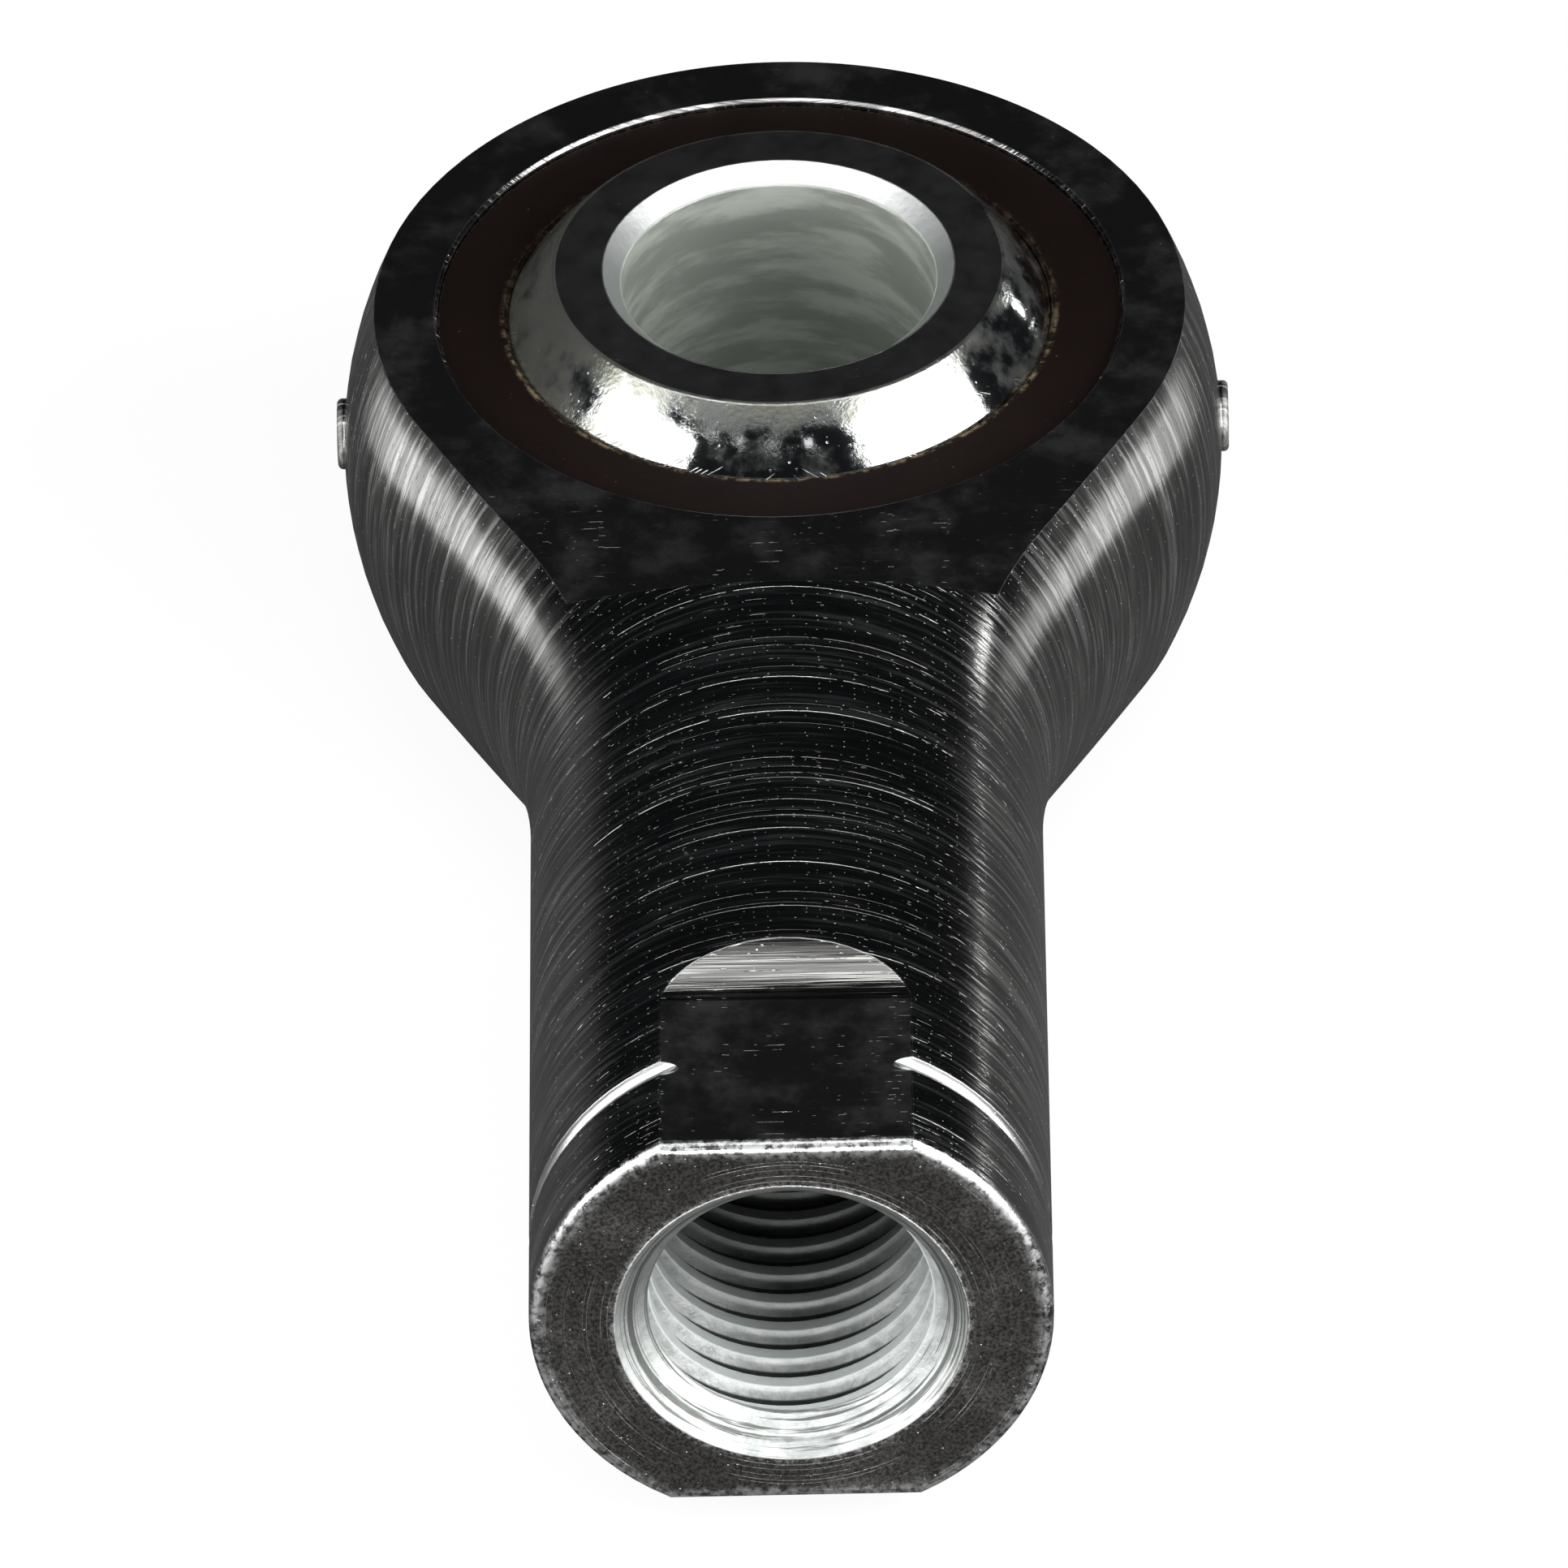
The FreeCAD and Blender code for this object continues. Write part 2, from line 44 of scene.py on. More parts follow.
# Camera, fitted to the object's outlines. Angles in degrees, lengths in metres.
CAMERA_ELEVATION = 38.36
CAMERA_AZIMUTH = 0.64
CAMERA_ROLL = -1.575
CAMERA_DISTANCE = 0.5801
CAMERA_TARGET = Vector((0, -12 * MM, 0))
PICTURE_WIDTH = 39.08 * MM
SENSOR = 36.0
SHIFT_X, SHIFT_Y = -0.0012, -0.0316

# Places along the housing's Y axis, in millimetres, from the shank's end to the hole's point.
END_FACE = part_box("housing")[0].y * PER_MM
MARKER = END_FACE + 3.02
WRENCH_TOP = -28.0
HOLE_POINT = -13.5

# Sizes of the housing, in millimetres.
HEAD_RADIUS = 11.1125
HEAD_HALF_WIDTH = 4.32
SHANK_RADIUS = 6.35
WRENCH_HALF_WIDTH = 5.565
MARKER_HALF_WIDTH = 0.26
EDGE_ROUND = 0.28
COUNTERSINK_DEPTH = 0.8

# Radii about the shank's axis: the hole's mouth, a turned ring round it, the thread; past the last
# radius the thread's roots get painted shade.
MOUTH_RADIUS = 4.27
MOUTH_RING = 4.62
CREST_RADIUS = 3.454
ROOT_SHADE_RADIUS = 3.78

# Radii about the ball's bore: the race's lip, the bore, its chamfer's outer edge.
LIP_RADIUS = 6.92
BORE_RADIUS = 3.97
CHAMFER_RADIUS = 4.43

# The milled flats: how much they mirror, and how much of that is left at a grazing angle.
DARK_FLAT = (0.14, 0.14, 0.145, 1)
GRAZING_FLAT = (0.35, 0.35, 0.35, 1)
WHITE = (1, 1, 1, 1)


# ---------------------------------------------------------------- node graph helpers

class Graph:
    """Short names for building one node tree."""

    def __init__(self, tree):
        self.tree = tree
        self.tree.nodes.clear()

    def node(self, kind, inputs=None, **settings):
        made = self.tree.nodes.new(kind)
        for key, value in settings.items():
            setattr(made, key, value)
        for key, value in (inputs or {}).items():
            self.feed(made.inputs[key], value)
        return made

    def feed(self, socket, value):
        if isinstance(value, bpy.types.NodeSocket):
            self.tree.links.new(value, socket)
        else:
            socket.default_value = value

    def math(self, operation, *values):
        made = self.node("ShaderNodeMath", operation=operation)
        for socket, value in zip(made.inputs, values):
            self.feed(socket, value)
        return made.outputs[0]

    def vector_math(self, operation, *values, output=0):
        made = self.node("ShaderNodeVectorMath", operation=operation)
        for socket, value in zip(made.inputs, values):
            self.feed(socket, value)
        return made.outputs[output]

    def multiply(self, *values):
        result = values[0]
        for value in values[1:]:
            result = self.math("MULTIPLY", result, value)
        return result

    def add(self, *values):
        result = values[0]
        for value in values[1:]:
            result = self.math("ADD", result, value)
        return result

    def invert(self, value):
        return self.math("SUBTRACT", 1.0, value)

    def absolute(self, value):
        return self.math("ABSOLUTE", value)

    def radius(self, a, b):
        return self.math("SQRT", self.add(self.multiply(a, a), self.multiply(b, b)))

    def step(self, value, low, high):
        """0 below low and 1 above high, smooth between; low above high turns it round."""
        if low > high:
            return self.invert(self.step(value, high, low))
        made = self.node("ShaderNodeMapRange", {"Value": value, "From Min": low, "From Max": high},
                         interpolation_type="SMOOTHSTEP")
        return made.outputs["Result"]

    def between(self, value, low, high, soft):
        return self.multiply(self.step(value, low - soft, low + soft),
                             self.step(value, high + soft, high - soft))

    def mix(self, factor, low, high):
        """A number that goes from low to high as factor goes from 0 to 1."""
        made = self.node("ShaderNodeMix", {"Factor": factor, "A": low, "B": high})
        return made.outputs["Result"]

    def mix_colour(self, factor, low, high):
        made = self.node("ShaderNodeMix", data_type="RGBA")
        for socket, value in zip((made.inputs["Factor"], made.inputs[6], made.inputs[7]),
                                 (factor, low, high)):
            self.feed(socket, value)
        return made.outputs[2]

    def stretch(self, vector, factors):
        return self.vector_math("MULTIPLY", vector, factors)

    def split(self, vector):
        return self.node("ShaderNodeSeparateXYZ", {"Vector": vector}).outputs

    def join(self, x, y, z):
        return self.node("ShaderNodeCombineXYZ", {"X": x, "Y": y, "Z": z}).outputs[0]

    def noise(self, vector, scale=1.0, detail=2.0, roughness=0.5):
        made = self.node("ShaderNodeTexNoise", {"Vector": vector, "Scale": scale, "Detail": detail,
                                                "Roughness": roughness})
        return made.outputs["Fac"]

    def scatter(self, dimensions, inputs):
        """Distance to the nearest of randomly placed points, and that point's random strength."""
        made = self.node("ShaderNodeTexVoronoi", {"Scale": 1.0, **inputs},
                         voronoi_dimensions=dimensions)
        strength = self.split(made.outputs["Color"])[0]
        return made.outputs["Distance"], self.multiply(strength, strength)

    def position(self):
        """The point on the body in millimetres; it moves with the body."""
        place = self.node("ShaderNodeTexCoord").outputs["Object"]
        return self.stretch(place, (PER_MM,) * 3)

    def facing(self):
        """The surface's own direction, before any bump, in the body's frame."""
        normal = self.node("ShaderNodeNewGeometry").outputs["True Normal"]
        made = self.node("ShaderNodeVectorTransform", {"Vector": normal}, vector_type="NORMAL",
                         convert_from="WORLD", convert_to="OBJECT")
        return made.outputs[0]

    def edges(self, radius_mm):
        """1 on sharp edges, 0 away from them, with the rounded normal."""
        rounded = self.node("ShaderNodeBevel", {"Radius": radius_mm * MM}, samples=6).outputs[0]
        flat = self.node("ShaderNodeNewGeometry").outputs["Normal"]
        turn = self.vector_math("DOT_PRODUCT", rounded, flat, output="Value")
        return self.step(turn, 0.995, 0.90), rounded

    def bump(self, height, distance_mm, normal=None):
        inputs = {"Height": height, "Distance": distance_mm * MM, "Strength": 1.0}
        if normal is not None:
            inputs["Normal"] = normal
        return self.node("ShaderNodeBump", inputs).outputs[0]


def new_material(name):
    material = bpy.data.materials.new(name)
    material.use_nodes = True
    return material, Graph(material.node_tree)


def surface(g, inputs):
    """A Principled surface as the material's result."""
    shader = g.node("ShaderNodeBsdfPrincipled", inputs)
    g.node("ShaderNodeOutputMaterial", {"Surface": shader.outputs[0]})


# ---------------------------------------------------------------- patterns

def scratches(g, along, across, per_mm_along, per_mm_across, size):
    """Short thin lines at random places in a plane of two coordinates in millimetres."""
    place = g.join(g.multiply(along, per_mm_along), g.multiply(across, per_mm_across), 0.0)
    near, strength = g.scatter("2D", {"Vector": place})
    return g.multiply(g.step(near, size, size * 0.35), strength)


def long_lines(g, coordinate, per_mm, width_mm, seed=0.0):
    """Full lines at random places along one coordinate."""
    near, strength = g.scatter("1D", {"W": g.add(g.multiply(coordinate, per_mm), seed)})
    return g.multiply(g.step(near, width_mm * per_mm, width_mm * per_mm * 0.3), strength)


def grain(g, across, place, per_mm, keep):
    """Machining marks: noise across one coordinate that hardly changes along the mark."""
    x, _, z = g.split(g.stretch(place, (keep, keep, keep)))
    return g.noise(g.join(g.multiply(across, per_mm), x, z), 1.0, 3, 0.65)


def specks(g, place, per_mm, size):
    """Dust and tiny pits."""
    near, strength = g.scatter("3D", {"Vector": place, "Scale": per_mm})
    return g.multiply(g.step(near, size, size * 0.4), strength)


def strongest(g, *values):
    result = values[0]
    for value in values[1:]:
        result = g.math("MAXIMUM", result, value)
    return result


# ---------------------------------------------------------------- housing

PLATING, PLATING_BRIGHT = (0.44, 0.43, 0.42, 1), (0.56, 0.56, 0.54, 1)
# Painted shade for the turning grooves, and painted highlight for the raised lines between them.
GROOVE_SHADE, RIDGE_HIGHLIGHT = (0.20, 0.20, 0.20, 1), (0.88, 0.89, 0.88, 1)
GRIT, GRIT_BRIGHT = (0.25, 0.24, 0.23, 1), (0.86, 0.84, 0.80, 1)
HOLE_WALL, HOLE_WALL_BRIGHT = (0.66, 0.70, 0.68, 1), (0.94, 0.96, 0.95, 1)
HOLE_RING, HOLE_SHADE = (0.10, 0.11, 0.10, 1), (0.05, 0.055, 0.05, 1)
# Painted highlight for the thread's crests.
CREST_HIGHLIGHT = (0.94, 1.0, 0.97, 1)
CUTTER_LINE = (0.10, 0.10, 0.10, 1)
BARE_METAL, WORN_METAL = (0.90, 0.92, 0.91, 1), (0.86, 0.87, 0.86, 1)


def housing_regions(g, place):
    """Masks of the housing's kinds of surface, and its distance and way round the shank's axis."""
    x, y, z = g.split(place)
    _, ny, nz = g.split(g.facing())
    from_axis = g.radius(x, z)
    around = g.multiply(g.math("ARCTAN2", x, z), SHANK_RADIUS)
    inside = g.step(from_axis, MOUTH_RADIUS + 0.05, MOUTH_RADIUS + 0.01)
    hole = g.multiply(inside, g.step(y, HOLE_POINT + 0.5, HOLE_POINT - 0.5))
    level = g.step(g.absolute(nz), 0.9985, 0.9995)
    flat = g.multiply(level, g.step(g.absolute(z), HEAD_HALF_WIDTH + 0.13, HEAD_HALF_WIDTH + 0.08))
    end = g.multiply(g.step(ny, -0.998, -0.9995), g.step(y, END_FACE + 0.1, END_FACE + 0.05))
    wrench = g.multiply(g.step(from_axis, SHANK_RADIUS - 0.015, SHANK_RADIUS - 0.025),
                        g.step(g.absolute(z), WRENCH_HALF_WIDTH - 0.065, WRENCH_HALF_WIDTH - 0.015),
                        g.step(y, WRENCH_TOP + 2.0, WRENCH_TOP + 1.0))
    # the ring groove, the rounded end edge and the worn border of the end face
    groove = g.multiply(g.between(y, MARKER - MARKER_HALF_WIDTH, MARKER + MARKER_HALF_WIDTH, 0.01),
                        g.step(from_axis, 6.34, 6.32), g.step(from_axis, 5.9, 6.0),
                        g.step(g.absolute(nz), 0.9995, 0.9985))
    rounding = g.multiply(g.between(ny, -0.97, -0.05, 0.02), g.step(from_axis, 4.8, 5.0),
                          g.step(y, END_FACE + EDGE_ROUND + 0.02, END_FACE + EDGE_ROUND))
    outward = g.math("MAXIMUM", from_axis, g.add(g.absolute(z), SHANK_RADIUS - WRENCH_HALF_WIDTH))
    border = g.multiply(g.step(y, END_FACE + EDGE_ROUND, END_FACE), g.step(outward, 5.70, 6.20))
    plane = g.math("MAXIMUM", flat, wrench)
    run_out = g.math("SUBTRACT", wrench, g.multiply(wrench, level))
    turned = g.invert(strongest(g, plane, end, hole))
    countersink = g.multiply(hole, g.step(y, END_FACE + COUNTERSINK_DEPTH + 0.1,
                                         END_FACE + COUNTERSINK_DEPTH))
    threaded = g.math("SUBTRACT", hole, countersink)
    nub = g.step(g.absolute(x), HEAD_RADIUS, HEAD_RADIUS + 0.05)
    return {"plane": plane, "level": g.math("SUBTRACT", plane, run_out), "end": end, "hole": hole,
            "turned": turned, "groove": groove, "rounding": rounding, "border": border,
            "run_out": run_out, "threaded": threaded, "countersink": countersink, "nub": nub,
            "from_axis": from_axis, "around": around}


def turning_marks(g, place, on):
    """Rings left by turning, broken up down the sides, and short hair lines."""
    y = g.split(place)[1]
    around = on["around"]
    sides = g.step(g.absolute(around), 1.5, 5.5)
    dashes = g.noise(g.join(g.multiply(around, 2.2), g.multiply(y, 5.0), 0.0), 1.0, 2)
    unbroken = g.step(g.add(dashes, g.multiply(sides, -0.20)), 0.34, 0.44)
    groups = g.step(g.noise(g.join(0.0, g.multiply(y, 0.5), 0.0), 1.0, 1), 0.44, 0.56)
    rings = g.add(g.multiply(long_lines(g, y, 0.55, 0.018, 3.4), 2.4),
                  g.multiply(long_lines(g, y, 3.6, 0.008, 7.1), g.step(sides, 0.9, 0.2), groups, 0.8))
    patchy = g.step(g.noise(place, 0.22, 2), 0.36, 0.58)
    hairs = g.add(g.multiply(scratches(g, around, y, 0.15, 4.0, 0.05), patchy),
                  g.multiply(scratches(g, around, y, 0.9, 5.0, 0.06), patchy),
                  g.multiply(scratches(g, around, y, 3.2, 5.0, 0.08), 0.9))
    return g.multiply(on["turned"], rings, unbroken), g.multiply(on["turned"], hairs)


def facing_marks(g, place, on):
    """Faint partial rings on the end face."""
    part_way = g.step(g.noise(place, 0.3, 2), 0.42, 0.60)
    mouth_ring = g.between(on["from_axis"], MOUTH_RING - 0.01, MOUTH_RING + 0.01, 0.01)
    rings = g.add(g.multiply(mouth_ring, 0.5), long_lines(g, on["from_axis"], 4.0, 0.009),
                  g.multiply(long_lines(g, on["from_axis"], 9.0, 0.007, 5.3), 0.8))
    halo = g.multiply(g.step(on["from_axis"], MOUTH_RADIUS + 0.25, MOUTH_RADIUS),
                      g.step(g.noise(place, 6.0, 4, 0.7), 0.42, 0.65))
    return g.multiply(on["end"], g.add(g.multiply(part_way, rings), halo))


def flat_marks(g, place, on):
    """Short straight nicks on the flats, crowded toward the shank."""
    x, y, _ = g.split(place)
    wander = g.add(y, g.multiply(g.noise(place, 0.35, 1), 0.25))
    toward_shank = g.mix(g.step(y, -5.0, -10.0), 0.15, 1.0)
    crowd = g.step(g.noise(place, 0.6, 3), 0.36, 0.60)
    nicks = g.add(scratches(g, x, wander, 0.25, 5.0, 0.08), scratches(g, x, wander, 0.7, 5.0, 0.08),
                  g.multiply(scratches(g, x, wander, 1.4, 5.0, 0.08), 0.8))
    return g.multiply(on["plane"], crowd, toward_shank, nicks)


def housing_marks(g, place, on):
    """The housing's tool marks, dust, haze, chips and wear, and its normal rounded at the edges."""
    x, y, z = g.split(place)
    rings, hairs = turning_marks(g, place, on)
    fine = grain(g, y, place, 7.0, 0.25)
    faced = g.noise(g.join(g.multiply(on["from_axis"], 8.0), g.multiply(x, 0.2), 0.0), 1.0, 4, 0.7)
    milled = g.noise(g.join(g.multiply(x, 0.12), g.multiply(y, 9.0), g.multiply(z, 4.0)), 1.0, 3, 0.6)
    mottle = g.noise(place, 1.6, 7, 0.7)
    dust = g.multiply(specks(g, place, 3.0, 0.09), g.mix(g.noise(place, 0.8, 2), 0.3, 1.0))
    dust = g.add(dust, g.multiply(on["end"], specks(g, place, 5.0, 0.16), 0.9))
    edge, rounded = g.edges(0.05)
    edge = g.multiply(edge, g.invert(on["hole"]), g.mix(g.noise(place, 3.0, 3), 0.4, 1.2))
    film = g.step(g.add(g.noise(place, 0.45, 5, 0.6), g.multiply(mottle, 0.3)), 0.60, 0.90)
    chipped = g.noise(place, 5.0, 4, 0.6)
    flaked = g.step(g.add(chipped, g.multiply(on["border"], 0.2)), 0.46, 0.80)
    rubbed = g.add(g.multiply(on["rounding"], g.step(chipped, 0.35, 0.60), 0.45),
                   g.multiply(on["border"], flaked))
    faced_lines = facing_marks(g, place, on)
    nicks = flat_marks(g, place, on)
    worn = strongest(g, g.multiply(nicks, 0.8), g.multiply(dust, 0.9), g.multiply(edge, 0.9),
                     g.multiply(faced_lines, 0.7), g.multiply(rings, 0.9), g.multiply(hairs, 0.6))
    # The tops of the fine turning relief are also returned as a mask that housing_colour lightens as a
    # painted highlight.
    return {"rings": rings, "hairs": hairs, "fine": fine, "coarse": grain(g, y, place, 2.4, 0.06),
            "faced": faced, "milled": milled, "mottle": mottle, "dust": dust, "rounded": rounded,
            "film": film, "chipped": chipped, "rubbed": rubbed, "faced_lines": faced_lines,
            "nicks": nicks, "worn": worn, "ridge_highlights": g.multiply(on["turned"], g.step(fine, 0.52, 0.64))}


def housing_height(g, place, on, mark):
    """Relief of the whole housing, in steps of the bump's distance."""
    turned = g.add(g.multiply(mark["fine"], 1.3), g.multiply(mark["coarse"], 0.5))
    return g.add(g.multiply(on["turned"], turned), g.multiply(mark["rings"], -1.6),
                 g.multiply(mark["hairs"], -1.0), g.multiply(on["end"], mark["faced"], 0.6),
                 g.multiply(on["end"], mark["mottle"], 0.8),
                 g.multiply(on["rounding"], mark["chipped"], 1.2),
                 g.multiply(on["run_out"], mark["milled"], 1.3),
                 g.multiply(on["plane"], mark["milled"], 0.2),
                 g.multiply(on["countersink"], mark["faced"], 2.2), g.multiply(mark["nicks"], -0.9),
                 g.multiply(mark["dust"], 0.8), g.multiply(mark["faced_lines"], -0.5),
                 g.multiply(on["hole"], g.noise(place, 6.0, 5, 0.65), 2.2),
                 g.multiply(on["nub"], mark["mottle"], 2.0))


def hole_colour(g, place, on, mark, crest):
    """Pale walls with crests made bright as a painted highlight; painted shade darkens the roots, the
    far end and the top of the mouth.
    """
    _, y, z = g.split(place)
    rings = g.multiply(on["countersink"], g.step(mark["faced"], 0.50, 0.58))
    # Painted shade: the thread's roots, the hole further in and the upper side of the countersink are
    # darkened in colour.
    root_shade = g.multiply(on["threaded"], g.step(on["from_axis"], ROOT_SHADE_RADIUS - 0.06,
                                             ROOT_SHADE_RADIUS))
    depth_shade = g.step(y, END_FACE + 1.8, END_FACE + 8.0)
    roof_shade = g.multiply(on["countersink"], g.step(z, -1.8, 1.2))
    shaded = strongest(g, root_shade, g.multiply(depth_shade, 0.92), g.multiply(roof_shade, 0.7))
    colour = g.mix_colour(g.step(mark["mottle"], 0.35, 0.60), HOLE_WALL, HOLE_WALL_BRIGHT)
    colour = g.mix_colour(g.multiply(rings, 0.85), colour, HOLE_RING)
    # Painted highlight: the thread's crests are made pale.
    colour = g.mix_colour(g.multiply(crest, 0.9), colour, CREST_HIGHLIGHT)
    return g.mix_colour(shaded, colour, HOLE_SHADE)


def housing_colour(g, place, on, mark, crest):
    """Plating of each kind of surface, with painted shade and painted highlight on the turning relief
    and in the hole, and bare and worn metal over it.
    """
    colour = g.mix_colour(g.noise(place, 0.6, 4), PLATING, PLATING_BRIGHT)
    # Painted shade in the grooves of the fine turning relief, and a painted highlight on its raised
    # lines.
    groove_shade = g.multiply(on["turned"], g.step(mark["fine"], 0.60, 0.40), 0.75)
    colour = g.mix_colour(groove_shade, colour, GROOVE_SHADE)
    colour = g.mix_colour(g.multiply(mark["ridge_highlights"], 0.7), colour, RIDGE_HIGHLIGHT)
    grit = g.step(g.noise(place, 11.0, 3, 0.7), 0.35, 0.65)
    colour = g.mix_colour(on["end"], colour, g.mix_colour(grit, GRIT, GRIT_BRIGHT))
    colour = g.mix_colour(on["level"], colour, DARK_FLAT)
    cutter_lines = g.multiply(on["run_out"], g.step(mark["milled"], 0.46, 0.56))
    colour = g.mix_colour(g.multiply(cutter_lines, 0.8), colour, CUTTER_LINE)
    colour = g.mix_colour(on["hole"], colour, hole_colour(g, place, on, mark, crest))
    bare = g.math("MINIMUM", g.math("MAXIMUM", on["groove"], mark["rubbed"]), 1.0)
    colour = g.mix_colour(bare, colour, BARE_METAL)
    return g.mix_colour(g.math("MINIMUM", mark["worn"], 1.0), colour, WORN_METAL)


def housing_material():
    """Bright-plated turned steel: ringed shank and head, scratched flats, faced end."""
    material, g = new_material("turned_plated_steel")
    place = g.position()
    on = housing_regions(g, place)
    mark = housing_marks(g, place, on)
    # The thread's crest lands, which hole_colour gives a painted highlight.
    crest = g.multiply(on["threaded"],
                       g.step(on["from_axis"], CREST_RADIUS + 0.05, CREST_RADIUS + 0.02))
    rough = g.add(0.12, g.multiply(mark["film"], 0.06), g.multiply(mark["worn"], 0.25),
                  g.multiply(mark["fine"], 0.05), g.multiply(on["hole"], 0.32),
                  g.multiply(on["groove"], 0.12), g.multiply(mark["ridge_highlights"], 0.08),
                  g.multiply(mark["rubbed"], 0.2), g.multiply(on["end"], 0.10),
                  g.multiply(on["nub"], 0.4))
    dull = g.add(g.multiply(on["hole"], 0.5), g.multiply(on["end"], mark["film"], 0.05),
                 g.multiply(crest, 0.45),
                 g.multiply(on["level"], g.add(0.045, g.multiply(mark["film"], 0.15))),
                 g.multiply(mark["hairs"], 0.15), g.multiply(mark["rubbed"], 0.12),
                 g.multiply(mark["faced_lines"], 0.2),
                 g.multiply(on["end"], mark["dust"], 0.2))
    surface(g, {"Base Color": housing_colour(g, place, on, mark, crest),
                "Metallic": g.invert(dull), "Roughness": rough,
                "Normal": g.bump(housing_height(g, place, on, mark), 0.012, mark["rounded"]),
                "Specular Tint": g.mix_colour(on["level"], WHITE, GRAZING_FLAT)})
    return material


# ---------------------------------------------------------------- race

LINER, LINER_LIGHT = (0.0075, 0.0040, 0.0036, 1), (0.013, 0.0072, 0.0064, 1)
LINER_DUST = (0.30, 0.23, 0.14, 1)


def race_material():
    """Moulded liner: dark brown, matt, faintly grained, with light dust caught at its edges."""
    material, g = new_material("moulded_liner")
    place = g.position()
    x, y, _ = g.split(place)
    from_axis = g.radius(x, y)
    fine = g.noise(place, 9.0, 4, 0.6)
    blotch = g.noise(place, 0.5, 4)
    dust = g.multiply(specks(g, place, 3.0, 0.07), g.step(blotch, 0.45, 0.6))
    edge, rounded = g.edges(0.05)
    front = g.mix(g.step(y, 2.0, -3.0), 0.15, 1.0)
    lip = g.multiply(g.step(from_axis, LIP_RADIUS + 0.18, LIP_RADIUS + 0.02),
                     g.step(g.noise(place, 3.0, 6, 0.75), 0.46, 0.62), front)
    caught = strongest(g, dust, lip, g.multiply(edge, g.step(fine, 0.45, 0.65), 0.7))
    colour = g.mix_colour(blotch, LINER, LINER_LIGHT)
    colour = g.mix_colour(g.math("MINIMUM", caught, 1.0), colour, LINER_DUST)
    rough = g.add(0.48, g.multiply(fine, 0.2))
    normal = g.bump(g.add(fine, g.multiply(dust, 1.5), g.multiply(lip, 2.0)), 0.006, rounded)
    surface(g, {"Base Color": colour, "Roughness": rough, "Normal": normal, "Specular IOR Level": 0.15})
    return material


# ---------------------------------------------------------------- ball

CHROME, HAZY_CHROME = (0.60, 0.62, 0.62, 1), (0.36, 0.37, 0.32, 1)
# Pale chamfer metal, and a painted shade for the chamfer's side toward the shank.
CHAMFER, CHAMFER_SHADE = (0.84, 0.86, 0.85, 1), (0.30, 0.32, 0.31, 1)
BORE_WALL, BORE_WALL_BRIGHT = (0.48, 0.52, 0.47, 1), (0.76, 0.80, 0.74, 1)


def ball_regions(g, place):
    """Masks of the ball's flats, bore, chamfers and sphere, and its distance from the bore's axis."""
    x, y, _ = g.split(place)
    _, _, nz = g.split(g.facing())
    from_axis = g.radius(x, y)
    flat = g.step(g.absolute(nz), 0.9985, 0.9995)
    mouth = g.between(from_axis, BORE_RADIUS + 0.01, CHAMFER_RADIUS + 0.03, 0.01)
    opening = g.step(from_axis, CHAMFER_RADIUS + 0.07, CHAMFER_RADIUS + 0.03)
    return {"flat": flat, "mouth": mouth, "sphere": g.invert(g.math("MAXIMUM", flat, opening)),
            "bore": g.step(from_axis, BORE_RADIUS + 0.05, BORE_RADIUS + 0.01),
            "from_axis": from_axis}


def ball_marks(g, place, on):
    """The ball's haze, pits and scratches, and its normal rounded at the edges."""
    x, y, z = g.split(place)
    edge, rounded = g.edges(0.05)
    cloud = g.noise(place, 1.1, 7, 0.62)
    # the film is thickest next to the flats, where the ball rubs least, and on the ball's -X side
    upper = g.step(g.absolute(z), 4.9, 5.5)
    side = g.step(x, -2.5, -6.0)
    film = g.step(g.add(cloud, g.multiply(upper, 0.15), g.multiply(side, 0.20)), 0.44, 0.78)
    pits = g.multiply(on["sphere"], specks(g, place, 4.0, 0.16),
                      g.step(g.noise(place, 0.8, 3), 0.40, 0.60))
    around = g.multiply(g.math("ARCTAN2", x, y), on["from_axis"])
    lip_marks = g.multiply(on["sphere"], g.step(g.absolute(z), 4.7, 4.35),
                           scratches(g, z, around, 1.2, 6.0, 0.20))
    nicks = g.math("MAXIMUM", g.multiply(scratches(g, x, y, 0.5, 5.0, 0.06), 0.5),
                   specks(g, place, 3.5, 0.07))
    smear = g.noise(g.join(g.multiply(z, 1.4), g.multiply(x, 0.3), g.multiply(y, 0.3)), 1.0, 5, 0.6)
    return {"edge": edge, "rounded": rounded, "cloud": cloud, "pits": pits, "lip_marks": lip_marks,
            "film": g.multiply(on["sphere"], film), "nicks": g.multiply(on["flat"], nicks),
            "smear": smear}


def ball_height(g, place, on, mark):
    """Relief of the ball, in steps of the bump's distance."""
    return g.add(g.multiply(on["sphere"], g.noise(place, 3.0, 4), 0.15), g.multiply(mark["pits"], -0.8),
                 g.multiply(mark["film"], g.noise(place, 8.0, 3), 0.8),
                 g.multiply(mark["lip_marks"], -0.7), g.multiply(on["bore"], mark["smear"], 0.8),
                 g.multiply(mark["nicks"], -0.8),
                 g.multiply(on["mouth"], g.noise(place, 2.5, 3), 2.2))


